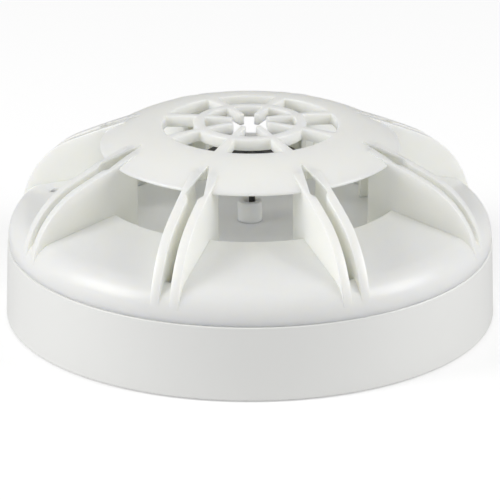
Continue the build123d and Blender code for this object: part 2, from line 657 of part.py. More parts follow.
def electrolytic_capacitor():
    can = Box(*CAPACITOR_FOOT, align=UP) + Cylinder(CAPACITOR_CAN_R, CAPACITOR_HEIGHT, align=UP)
    groove = tube(CAPACITOR_CAN_R + CAPACITOR_GROOVE, CAPACITOR_NECK_R, CAPACITOR_GROOVE_Z,
                  CAPACITOR_GROOVE_Z + CAPACITOR_GROOVE)
    return on_board(can - groove, *CAPACITOR_PLACE)


def status_led():
    length, width, height = LED_SIZE
    lens = Pos(0, 0, height) * Cylinder(LED_LENS_R, LED_LENS, align=UP)
    lamp = Box(width, length, height, align=UP) + lens
    return turned(on_board(lamp, 0, -LED_AT_R), LED_AZIMUTH)


def light_pipe():
    low = BOARD_TOP_Z + LED_SIZE[2] + LED_LENS + PIPE_LED_GAP
    top = bay_surface_z(LED_AT_R) - PIPE_RECESS
    foot = rod(PIPE_FOOT_R, FLOOR_BOTTOM_Z - PIPE_FOOT, FLOOR_BOTTOM_Z, LED_AT_R, LED_AZIMUTH)
    return rod(PIPE_R, low, top, LED_AT_R, LED_AZIMUTH) + foot


# ---------------------------------------------------------------- thermistor
def thermistor_holder():
    low = HOLLOW_Z - HOLDER_FLANGE
    outline = FilletPolyline(
        (HOLDER_BORE_R, low), (HOLDER_FLANGE_R, low), (HOLDER_FLANGE_R, HOLLOW_Z),
        (HOLDER_R, HOLLOW_Z), (HOLDER_R, HOLDER_TOP_Z), (HOLDER_BORE_R, HOLDER_TOP_Z),
        radius=[0, 0, 0, 0, HOLDER_ROUND, HOLDER_ROUND], close=True)
    return revolved(outline)


def thermistor_leads():
    return group(rod(LEAD_R, BOARD_Z, BEAD_BOTTOM_Z, x=PROBE_OFFSET + side * LEAD_PITCH / 2)
                 for side in (-1, 1))


def thermistor_sleeve():
    return rod(PROBE_R, BOARD_TOP_Z, BEAD_BOTTOM_Z, x=PROBE_OFFSET) - thermistor_leads()


def thermistor_bead():
    top = COLLECTOR_Z + COLLECTOR + COLLECTOR_DISH
    bead = rod(BEAD_R, BEAD_BOTTOM_Z, top, x=PROBE_OFFSET)
    return fillet(bead.edges().filter_by(GeomType.CIRCLE), BEAD_ROUND)


def heat_collector_disc():
    """Thin dished plate on the thermistor that gathers heat from the air stream."""
    hub_z = COLLECTOR_Z + COLLECTOR_DISH
    outline = Polyline((0, hub_z), (COLLECTOR_HUB_R, hub_z), (COLLECTOR_R, COLLECTOR_Z),
                       (COLLECTOR_R, COLLECTOR_Z + COLLECTOR),
                       (COLLECTOR_HUB_R, hub_z + COLLECTOR), (0, hub_z + COLLECTOR), close=True)
    disc = Pos(PROBE_OFFSET, 0, 0) * revolved(outline)
    return disc - rod(BEAD_R, COLLECTOR_Z, hub_z + COLLECTOR, x=PROBE_OFFSET)


# ---------------------------------------------------------------- all nodes
def build():
    cover = outer_cover()
    crown = crown_grille()
    floor = chamber_floor()
    nodes = {
        "base_moulding": base_moulding(),
        "screen_contact": screen_contact(),
        "clamp_washers": clamp_washers(),
        "terminal_screws": terminal_screws(),
        "outer_cover": cover,
        "crown_grille": crown,
        "guard_fins": guard_fins([cover, crown, floor]),
        "chamber_floor": floor,
        "rear_case": rear_case(),
        "case_screws": case_screws(),
        "contact_rivets": contact_rivets(),
        "circuit_board": circuit_board(),
        "microcontroller": microcontroller(),
        "bridge_rectifier": bridge_rectifier(),
        "electrolytic_capacitor": electrolytic_capacitor(),
        "chip_capacitors": plain_chips(CERAMIC_SIZE, CERAMIC_PLACES),
        "chip_resistors": plain_chips(RESISTOR_SIZE, RESISTOR_PLACES),
        "transistors": transistors(),
        "reference_thermistor": plain_chips(REFERENCE_SIZE, [REFERENCE_PLACE]),
        "status_led": status_led(),
        "light_pipe": light_pipe(),
        "thermistor_holder": thermistor_holder(),
        "thermistor_leads": thermistor_leads(),
        "thermistor_sleeve": thermistor_sleeve(),
        "thermistor_bead": thermistor_bead(),
        "heat_collector_disc": heat_collector_disc(),
    }
    for i, azimuth in enumerate(CONTACT_AZIMUTHS, start=1):
        nodes[f"base_contact_{i}"] = base_contact(azimuth)
        nodes[f"head_contact_{i}"] = head_contact(azimuth)
    return nodes


os.makedirs("parts", exist_ok=True)
for name, shape in build().items():
    export_step(shape, f"parts/{name}.step")
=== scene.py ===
"""Studio scene of a point heat detector.

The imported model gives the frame: bodies, nodes and their places. This script builds the head's
cover with its fins, crown and grille as one finished mesh, gives every other node its material,
and sets up the floor, the lights and the camera. Lengths in the classes are millimetres.
"""

import logging
import math
from dataclasses import dataclass, field
from enum import Enum
from typing import Sequence

import bmesh
import bpy
from mathutils import Matrix, Vector


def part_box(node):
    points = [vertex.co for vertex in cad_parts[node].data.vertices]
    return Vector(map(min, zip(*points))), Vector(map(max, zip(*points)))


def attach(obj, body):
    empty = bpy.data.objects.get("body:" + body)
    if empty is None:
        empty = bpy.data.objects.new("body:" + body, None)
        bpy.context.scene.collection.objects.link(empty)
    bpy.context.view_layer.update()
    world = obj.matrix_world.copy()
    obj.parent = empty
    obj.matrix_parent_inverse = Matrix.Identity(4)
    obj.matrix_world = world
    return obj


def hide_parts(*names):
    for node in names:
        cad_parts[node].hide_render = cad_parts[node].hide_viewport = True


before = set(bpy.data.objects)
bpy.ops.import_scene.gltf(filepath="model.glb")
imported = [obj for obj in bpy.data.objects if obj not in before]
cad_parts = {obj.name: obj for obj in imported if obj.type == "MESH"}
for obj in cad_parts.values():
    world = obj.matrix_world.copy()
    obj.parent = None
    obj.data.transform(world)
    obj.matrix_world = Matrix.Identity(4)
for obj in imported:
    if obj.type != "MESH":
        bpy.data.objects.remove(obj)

log = logging.getLogger("heat_detector")
MM = 0.001
FULL_TURN = 2 * math.pi
SHARP_ANGLE = math.radians(38)
WELD = 0.002                       # distance under which vertices merge, in mm
SCATTER_RADIUS = (0.0025, 0.0024, 0.0021)   # how far light spreads in white plastic, in metres

Point2 = tuple[float, float]
Colour = tuple[float, float, float]


# ------------------------------------------------------------------ outlines
@dataclass(frozen=True)
class Corner:
    """A corner of an outline in (radius, height), with the radius of its round."""

    r: float
    z: float
    fillet: float = 0.0
    segments: int = 4


def rounded_outline(corners: Sequence[Corner]) -> list[Point2]:
    """Replaces the corners of a closed outline with arcs.

    Args:
        corners: the corners in order.

    Returns:
        The points of the rounded outline.
    """
    points: list[Point2] = []
    for i, corner in enumerate(corners):
        here = Vector((corner.r, corner.z))
        if corner.fillet <= 0:
            points.append((corner.r, corner.z))
            continue
        before, after = corners[i - 1], corners[(i + 1) % len(corners)]
        to_before = (Vector((before.r, before.z)) - here).normalized()
        to_after = (Vector((after.r, after.z)) - here).normalized()
        half = to_before.angle(to_after) / 2
        reach = corner.fillet / math.tan(half)
        centre = here + (to_before + to_after).normalized() * corner.fillet / math.sin(half)
        start = here + to_before * reach - centre
        end = here + to_after * reach - centre
        turn = start.angle_signed(end)
        for k in range(corner.segments + 1):
            spoke = start.copy()
            spoke.rotate(Matrix.Rotation(-turn * k / corner.segments, 2))
            points.append(tuple(centre + spoke))
    return points


def arc_points(centre: Point2, radius: float, first: float, last: float, count: int) -> list[Point2]:
    """Points along an arc, both ends included.

    Args:
        centre: centre of the arc.
        radius: its radius.
        first: angle of the first point, in radians from the +r direction.
        last: angle of the last point.
        count: number of steps.

    Returns:
        count + 1 points.
    """
    turns = [first + (last - first) * i / count for i in range(count + 1)]
    return [(centre[0] + radius * math.cos(t), centre[1] + radius * math.sin(t)) for t in turns]


def polar(radius: float, angle: float) -> Point2:
    """The plan point at a radius and an angle from the front (-Y) towards +X."""
    return radius * math.sin(angle), -radius * math.cos(angle)


# ------------------------------------------------------------------ mesh tools
def turned_solid(outline: Sequence[Point2], steps: int = 192, start: float = 0.0) -> bmesh.types.BMesh:
    """Turns a closed (radius, height) outline a full turn about Z.

    Args:
        outline: points of the outline.
        steps: steps in the turn.
        start: azimuth of the first section, in radians from the front.

    Returns:
        The solid, with outward normals.
    """
    bm = bmesh.new()
    verts = [bm.verts.new((*polar(r, start), z)) for r, z in outline]
    edges = [bm.edges.new(pair) for pair in zip(verts, verts[1:] + verts[:1])]
    bmesh.ops.spin(bm, geom=verts + edges, cent=(0, 0, 0), axis=(0, 0, 1), angle=FULL_TURN,
                   steps=steps, use_merge=True)
    return tidied(bm)


def prism(plan: Sequence[Point2], low: float, high: float) -> bmesh.types.BMesh:
    """A plan outline raised between two heights."""
    bm = bmesh.new()
    face = bm.faces.new([bm.verts.new((x, y, low)) for x, y in plan])
    raised = bmesh.ops.extrude_face_region(bm, geom=[face])["geom"]
    tops = [v for v in raised if isinstance(v, bmesh.types.BMVert)]
    bmesh.ops.translate(bm, verts=tops, vec=(0, 0, high - low))
    return tidied(bm)


def upright_plate(side_view: Sequence[Point2], half_width: float) -> bmesh.types.BMesh:
    """A (radius, height) outline along the front, widened to both sides of X = 0."""
    bm = bmesh.new()
    face = bm.faces.new([bm.verts.new((-half_width, -r, z)) for r, z in side_view])
    raised = bmesh.ops.extrude_face_region(bm, geom=[face])["geom"]
    moved = [v for v in raised if isinstance(v, bmesh.types.BMVert)]
    bmesh.ops.translate(bm, verts=moved, vec=(2 * half_width, 0, 0))
    return tidied(bm)


def tidied(bm: bmesh.types.BMesh) -> bmesh.types.BMesh:
    """Welds doubles and points all faces outwards."""
    bmesh.ops.remove_doubles(bm, verts=bm.verts, dist=WELD)
    bmesh.ops.dissolve_degenerate(bm, edges=bm.edges, dist=WELD)
    bmesh.ops.recalc_face_normals(bm, faces=bm.faces)
    return bm


def repeated_round(bm: bmesh.types.BMesh, azimuths: Sequence[float]) -> bmesh.types.BMesh:
    """Copies of a shape drawn at the front, turned to each azimuth in radians."""
    whole = bmesh.new()
    for azimuth in azimuths:
        copy = bpy.data.meshes.new("copy")
        bm.to_mesh(copy)
        copy.transform(Matrix.Rotation(azimuth, 4, "Z"))
        whole.from_mesh(copy)
        bpy.data.meshes.remove(copy)
    return whole


def joined(*shapes: bmesh.types.BMesh) -> bmesh.types.BMesh:
    """Several shapes in one mesh, as separate closed shells."""
    whole = bmesh.new()
    for shape in shapes:
        part = bpy.data.meshes.new("part")
        shape.to_mesh(part)
        whole.from_mesh(part)
        bpy.data.meshes.remove(part)
    return whole


class Cut(Enum):
    """How two shapes are combined."""

    REMOVE = "DIFFERENCE"
    KEEP_COMMON = "INTERSECT"
    ADD = "UNION"


def combined(body: bmesh.types.BMesh, tool: bmesh.types.BMesh, how: Cut) -> bmesh.types.BMesh:
    """Combines two closed shapes exactly.

    Args:
        body: the shape that is worked on.
        tool: the shape that cuts it or is added.
        how: the way they combine.

    Returns:
        A new shape.
    """
    holders = []
    for name, shape in (("body", body), ("tool", tool)):
        mesh = bpy.data.meshes.new(name)
        shape.to_mesh(mesh)
        holder = bpy.data.objects.new(name, mesh)
        bpy.context.scene.collection.objects.link(holder)
        holders.append(holder)
    step = holders[0].modifiers.new("combine", "BOOLEAN")
    step.operation, step.solver, step.object = how.value, "EXACT", holders[1]
    graph = bpy.context.evaluated_depsgraph_get()
    result = bpy.data.meshes.new_from_object(holders[0].evaluated_get(graph))
    out = bmesh.new()
    out.from_mesh(result)
    for holder in holders:
        used = holder.data
        bpy.data.objects.remove(holder)
        bpy.data.meshes.remove(used)
    bpy.data.meshes.remove(result)
    return tidied(out)


def eased(bm: bmesh.types.BMesh, radius: float, segments: int = 2) -> bmesh.types.BMesh:
    """Rounds the sharp edges of a shape.

    Args:
        bm: the shape.
        radius: size of the round.
        segments: steps across it.

    Returns:
        The same shape.
    """
    edges = [e for e in bm.edges
             if len(e.link_faces) == 2 and e.calc_face_angle(0) > SHARP_ANGLE]
    bmesh.ops.bevel(bm, geom=edges, offset=radius, offset_type="OFFSET", segments=segments,
                    profile=0.5, affect="EDGES", clamp_overlap=True, material=-1)
    return tidied(bm)


def placed(bm: bmesh.types.BMesh, name: str, body: str, nodes: Sequence[str],
           material: bpy.types.Material) -> bpy.types.Object:
    """Makes the finished piece from a shape in millimetres.

    Args:
        bm: the shape, which is used up.
        name: the piece's name.
        body: the body that it rides on.
        nodes: the nodes that it stands for.
        material: its finish.

    Returns:
        The piece.
    """
    bmesh.ops.scale(bm, vec=(MM, MM, MM), verts=bm.verts)
    mesh = bpy.data.meshes.new(name)
    bm.to_mesh(mesh)
    bm.free()
    mesh.shade_smooth()
    mesh.set_sharp_from_angle(angle=SHARP_ANGLE)
    mesh.materials.append(material)
    piece = bpy.data.objects.new(name, mesh)
    bpy.context.scene.collection.objects.link(piece)
    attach(piece, body)
    if nodes:
        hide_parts(*nodes)
    log.info("%s: %d faces, stands for %s", name, len(mesh.polygons), ", ".join(nodes) or "nothing")
    return piece


# ------------------------------------------------------------------ shared shader effects
class NodeLayout:
    """Adds nodes and links to one node tree."""

    def __init__(self, tree: bpy.types.NodeTree) -> None:
        """Keeps the tree."""
        self.tree = tree

    def add(self, kind: str, **settings: object) -> bpy.types.Node:
        """Adds a node and sets its plain properties."""
        node = self.tree.nodes.new(kind)
        for name, value in settings.items():
            setattr(node, name, value)
        return node

    def link(self, source: bpy.types.NodeSocket, target: bpy.types.NodeSocket) -> None:
        """Joins two sockets."""
        self.tree.links.new(source, target)


def effect_group(name: str, inputs: dict[str, tuple[str, object]],
                 outputs: dict[str, str]) -> tuple[bpy.types.NodeTree, NodeLayout,
                                                   bpy.types.Node, bpy.types.Node]:
    """Starts a shader node group with named sockets.

    Args:
        name: the group's name.
        inputs: socket name to (socket type, default value).
        outputs: socket name to socket type.

    Returns:
        The group, its layout, its input node and its output node.
    """
    group = bpy.data.node_groups.new(name, "ShaderNodeTree")
    for label, (kind, value) in inputs.items():
        socket = group.interface.new_socket(name=label, in_out="INPUT", socket_type=kind)
        socket.default_value = value
    for label, kind in outputs.items():
        group.interface.new_socket(name=label, in_out="OUTPUT", socket_type=kind)
    layout = NodeLayout(group)
    return group, layout, layout.add("NodeGroupInput"), layout.add("NodeGroupOutput")


FLOAT, COLOUR, VECTOR = "NodeSocketFloat", "NodeSocketColor", "NodeSocketVector"


def build_moulded_skin() -> bpy.types.NodeTree:
    """Group for moulded plastic: eroded-tool grain, slow tone drift and settled dust."""
    group, lay, given, out = effect_group(
        "moulded_skin",
        {"Clean": (COLOUR, (0.8, 0.8, 0.8, 1)), "Aged": (COLOUR, (0.7, 0.7, 0.65, 1)),
         "Grain Size": (FLOAT, 0.0004), "Drift": (FLOAT, 0.2), "Dust": (FLOAT, 0.1),
         "Gloss": (FLOAT, 0.4)},
        {"Color": COLOUR, "Roughness": FLOAT, "Height": FLOAT})
    place = lay.add("ShaderNodeTexCoord")
    per_size = lay.add("ShaderNodeMath", operation="DIVIDE")
    per_size.inputs[0].default_value = 1.0
    lay.link(given.outputs["Grain Size"], per_size.inputs[1])

    grain = lay.add("ShaderNodeTexNoise")
    grain.inputs["Detail"].default_value = 3.0
    grain.inputs["Roughness"].default_value = 0.6
    lay.link(place.outputs["Object"], grain.inputs["Vector"])
    lay.link(per_size.outputs[0], grain.inputs["Scale"])
    lay.link(grain.outputs["Fac"], out.inputs["Height"])

    slow = lay.add("ShaderNodeTexNoise")
    slow.inputs["Scale"].default_value = 38.0
    slow.inputs["Detail"].default_value = 4.0
    lay.link(place.outputs["Object"], slow.inputs["Vector"])
    drift = lay.add("ShaderNodeMath", operation="MULTIPLY")
    lay.link(slow.outputs["Fac"], drift.inputs[0])
    lay.link(given.outputs["Drift"], drift.inputs[1])

    specks = lay.add("ShaderNodeTexNoise")
    specks.inputs["Scale"].default_value = 900.0
    specks.inputs["Detail"].default_value = 2.0
    lay.link(place.outputs["Object"], specks.inputs["Vector"])
    speck_mask = lay.add("ShaderNodeMapRange")
    speck_mask.inputs["From Min"].default_value = 0.62
    speck_mask.inputs["From Max"].default_value = 0.74
    lay.link(specks.outputs["Fac"], speck_mask.inputs["Value"])
    facing = lay.add("ShaderNodeNewGeometry")
    split = lay.add("ShaderNodeSeparateXYZ")
    lay.link(facing.outputs["Normal"], split.inputs[0])
    level = lay.add("ShaderNodeMapRange")
    level.inputs["From Min"].default_value = 0.2
    level.inputs["From Max"].default_value = 1.0
    lay.link(split.outputs["Z"], level.inputs["Value"])
    settled = lay.add("ShaderNodeMath", operation="MULTIPLY")
    lay.link(speck_mask.outputs[0], settled.inputs[0])
    lay.link(level.outputs[0], settled.inputs[1])
    dust = lay.add("ShaderNodeMath", operation="MULTIPLY")
    lay.link(settled.outputs[0], dust.inputs[0])
    lay.link(given.outputs["Dust"], dust.inputs[1])
    amount = lay.add("ShaderNodeMath", operation="ADD", use_clamp=True)
    lay.link(drift.outputs[0], amount.inputs[0])
    lay.link(dust.outputs[0], amount.inputs[1])

    mix = lay.add("ShaderNodeMix", data_type="RGBA")
    lay.link(amount.outputs[0], mix.inputs["Factor"])
    lay.link(given.outputs["Clean"], mix.inputs["A"])
    lay.link(given.outputs["Aged"], mix.inputs["B"])
    lay.link(mix.outputs["Result"], out.inputs["Color"])

    wander = lay.add("ShaderNodeMapRange")
    wander.inputs["To Min"].default_value = -0.05
    wander.inputs["To Max"].default_value = 0.08
    lay.link(slow.outputs["Fac"], wander.inputs["Value"])
    rough = lay.add("ShaderNodeMath", operation="ADD")
    lay.link(given.outputs["Gloss"], rough.inputs[0])
    lay.link(wander.outputs[0], rough.inputs[1])
    more = lay.add("ShaderNodeMath", operation="ADD", use_clamp=True)
    lay.link(rough.outputs[0], more.inputs[0])
    lay.link(dust.outputs[0], more.inputs[1])
    lay.link(more.outputs[0], out.inputs["Roughness"])
    return group


def build_rolled_metal() -> bpy.types.NodeTree:
    """Group for rolled or plated metal: fine lines along one axis, and dull patches."""
    group, lay, given, out = effect_group(
        "rolled_metal",
        {"Bright": (COLOUR, (0.8, 0.8, 0.8, 1)), "Dull": (COLOUR, (0.5, 0.5, 0.5, 1)),
         "Stretch": (VECTOR, (1, 1, 12)), "Gloss": (FLOAT, 0.3), "Patches": (FLOAT, 0.5)},
        {"Color": COLOUR, "Roughness": FLOAT, "Height": FLOAT})
    place = lay.add("ShaderNodeTexCoord")
    shaped = lay.add("ShaderNodeVectorMath", operation="MULTIPLY")
    lay.link(place.outputs["Object"], shaped.inputs[0])
    lay.link(given.outputs["Stretch"], shaped.inputs[1])
    lines = lay.add("ShaderNodeTexNoise")
    lines.inputs["Scale"].default_value = 1500.0
    lines.inputs["Detail"].default_value = 2.0
    lay.link(shaped.outputs[0], lines.inputs["Vector"])
    lay.link(lines.outputs["Fac"], out.inputs["Height"])
    clouds = lay.add("ShaderNodeTexNoise")
    clouds.inputs["Scale"].default_value = 220.0
    clouds.inputs["Detail"].default_value = 5.0
    lay.link(place.outputs["Object"], clouds.inputs["Vector"])
    patch = lay.add("ShaderNodeMapRange")
    patch.inputs["From Min"].default_value = 0.35
    patch.inputs["From Max"].default_value = 0.75
    lay.link(clouds.outputs["Fac"], patch.inputs["Value"])
    amount = lay.add("ShaderNodeMath", operation="MULTIPLY", use_clamp=True)
    lay.link(patch.outputs[0], amount.inputs[0])
    lay.link(given.outputs["Patches"], amount.inputs[1])
    mix = lay.add("ShaderNodeMix", data_type="RGBA")
    lay.link(amount.outputs[0], mix.inputs["Factor"])
    lay.link(given.outputs["Bright"], mix.inputs["A"])
    lay.link(given.outputs["Dull"], mix.inputs["B"])
    lay.link(mix.outputs["Result"], out.inputs["Color"])
    rougher = lay.add("ShaderNodeMath", operation="MULTIPLY_ADD", use_clamp=True)
    lay.link(amount.outputs[0], rougher.inputs[0])
    rougher.inputs[1].default_value = 0.25
    lay.link(given.outputs["Gloss"], rougher.inputs[2])
    lay.link(rougher.outputs[0], out.inputs["Roughness"])
    return group


class Effects:
    """The shared groups, each built once."""

    def __init__(self) -> None:
        """Builds the groups."""
        self.moulded_skin = build_moulded_skin()
        self.rolled_metal = build_rolled_metal()


def rgba(colour: Colour) -> tuple[float, float, float, float]:
    """The colour with full alpha."""
    return (*colour, 1.0)


def new_material(name: str) -> tuple[bpy.types.Material, NodeLayout, bpy.types.Node]:
    """A material with an empty Principled shader.

    Args:
        name: the material's name.

    Returns:
        The material, its layout and its shader node.
    """
    material = bpy.data.materials.new(name)
    material.use_nodes = True
    lay = NodeLayout(material.node_tree)
    lay.tree.nodes.clear()
    shader = lay.add("ShaderNodeBsdfPrincipled")
    out = lay.add("ShaderNodeOutputMaterial")
    lay.link(shader.outputs["BSDF"], out.inputs["Surface"])
    return material, lay, shader


def add_relief(lay: NodeLayout, shader: bpy.types.Node, height: bpy.types.NodeSocket,
               depth: float) -> None:
    """Feeds a height through a Bump node to the shader.

    Args:
        lay: the material's layout.
        shader: the Principled node.
        height: the socket that gives the height, 0 to 1.
        depth: depth of the relief in metres.
    """
    bump = lay.add("ShaderNodeBump")
    bump.inputs["Distance"].default_value = depth
    lay.link(height, bump.inputs["Height"])
    lay.link(bump.outputs["Normal"], shader.inputs["Normal"])


@dataclass(frozen=True)
class MouldedPlastic:
    """Injection-moulded plastic with a fine eroded-tool skin."""

    name: str
    clean: Colour
    aged: Colour
    gloss: float = 0.42
    grain_mm: float = 0.35
    grain_depth_mm: float = 0.006
    drift: float = 0.25
    dust: float = 0.12
    translucency: float = 0.0

    def make(self, effects: Effects) -> bpy.types.Material:
        """Builds the material from the shared groups."""
        material, lay, shader = new_material(self.name)
        skin = lay.add("ShaderNodeGroup", node_tree=effects.moulded_skin)
        skin.inputs["Clean"].default_value = rgba(self.clean)
        skin.inputs["Aged"].default_value = rgba(self.aged)
        skin.inputs["Grain Size"].default_value = self.grain_mm * MM
        skin.inputs["Drift"].default_value = self.drift
        skin.inputs["Dust"].default_value = self.dust
        skin.inputs["Gloss"].default_value = self.gloss
        lay.link(skin.outputs["Color"], shader.inputs["Base Color"])
        lay.link(skin.outputs["Roughness"], shader.inputs["Roughness"])
        shader.inputs["IOR"].default_value = 1.53
        if self.translucency:
            shader.inputs["Subsurface Weight"].default_value = self.translucency
            shader.inputs["Subsurface Radius"].default_value = SCATTER_RADIUS
            shader.inputs["Subsurface Scale"].default_value = 1.0
        add_relief(lay, shader, skin.outputs["Height"], self.grain_depth_mm * MM)
        return material


@dataclass(frozen=True)
class SheetMetal:
    """Rolled, stamped or plated metal."""

    name: str
    bright: Colour
    dull: Colour
    gloss: float = 0.28
    patches: float = 0.5
    stretch: tuple[float, float, float] = (1.0, 1.0, 12.0)
    line_depth_mm: float = 0.003

    def make(self, effects: Effects) -> bpy.types.Material:
        """Builds the material from the shared groups."""
        material, lay, shader = new_material(self.name)
        skin = lay.add("ShaderNodeGroup", node_tree=effects.rolled_metal)
        skin.inputs["Bright"].default_value = rgba(self.bright)
        skin.inputs["Dull"].default_value = rgba(self.dull)
        skin.inputs["Stretch"].default_value = self.stretch
        skin.inputs["Gloss"].default_value = self.gloss
        skin.inputs["Patches"].default_value = self.patches
        shader.inputs["Metallic"].default_value = 1.0
        lay.link(skin.outputs["Color"], shader.inputs["Base Color"])
        lay.link(skin.outputs["Roughness"], shader.inputs["Roughness"])
        add_relief(lay, shader, skin.outputs["Height"], self.line_depth_mm * MM)
        return material


WHITE_ABS = MouldedPlastic("white_abs", (0.925, 0.93, 0.885), (0.89, 0.895, 0.84), gloss=0.3,
                           translucency=1.0)
SKIRT_ABS = MouldedPlastic("skirt_abs", (0.885, 0.887, 0.87), (0.84, 0.843, 0.815), gloss=0.3)
CHAMBER_ABS = MouldedPlastic("chamber_abs", (0.935, 0.94, 0.925), (0.91, 0.915, 0.89), gloss=0.4,
                             translucency=1.0)
CASE_PLASTIC = MouldedPlastic("case_plastic", (0.76, 0.765, 0.74), (0.70, 0.70, 0.66), gloss=0.5)
PROBE_BLACK = MouldedPlastic("probe_black", (0.012, 0.012, 0.014), (0.03, 0.03, 0.03), gloss=0.5,
                             grain_mm=0.12, dust=0.3)
COLLECTOR_BLACK = MouldedPlastic("collector_black", (0.015, 0.015, 0.017), (0.035, 0.035, 0.035),
                                 gloss=0.6, grain_mm=0.2, grain_depth_mm=0.01, dust=0.4)
EPOXY_BLACK = MouldedPlastic("epoxy_black", (0.02, 0.02, 0.022), (0.05, 0.05, 0.05), gloss=0.55,
                             grain_mm=0.08)
BOARD_GREEN = MouldedPlastic("board_green", (0.015, 0.12, 0.045), (0.03, 0.16, 0.07), gloss=0.25,
                             grain_mm=0.6, drift=0.8)
CERAMIC_TAN = MouldedPlastic("ceramic_tan", (0.45, 0.32, 0.19), (0.36, 0.25, 0.15), gloss=0.5,
                             grain_mm=0.1)
LAMP_CLEAR = MouldedPlastic("lamp_clear", (0.42, 0.42, 0.41), (0.30, 0.30, 0.29), gloss=0.15,
                            grain_mm=0.5, grain_depth_mm=0.001)
SENSOR_GLASS = MouldedPlastic("sensor_glass", (0.03, 0.03, 0.04), (0.06, 0.06, 0.06), gloss=0.2,
                              grain_mm=0.2)
CONTACT_STEEL = SheetMetal("contact_steel", (0.62, 0.61, 0.58), (0.42, 0.41, 0.39))
CONTACT_BRONZE = SheetMetal("contact_bronze", (0.72, 0.48, 0.24), (0.45, 0.28, 0.13), gloss=0.32)
TURNED_BRASS = SheetMetal("turned_brass", (0.78, 0.60, 0.30), (0.50, 0.36, 0.16), gloss=0.25)
ZINC_PLATE = SheetMetal("zinc_plate", (0.66, 0.68, 0.70), (0.45, 0.46, 0.46), gloss=0.3,
                        stretch=(1, 1, 1))
CAPACITOR_CAN = SheetMetal("capacitor_can", (0.70, 0.71, 0.72), (0.55, 0.55, 0.55), gloss=0.25)
TINNED_WIRE = SheetMetal("tinned_wire", (0.70, 0.70, 0.68), (0.50, 0.50, 0.48), gloss=0.3)


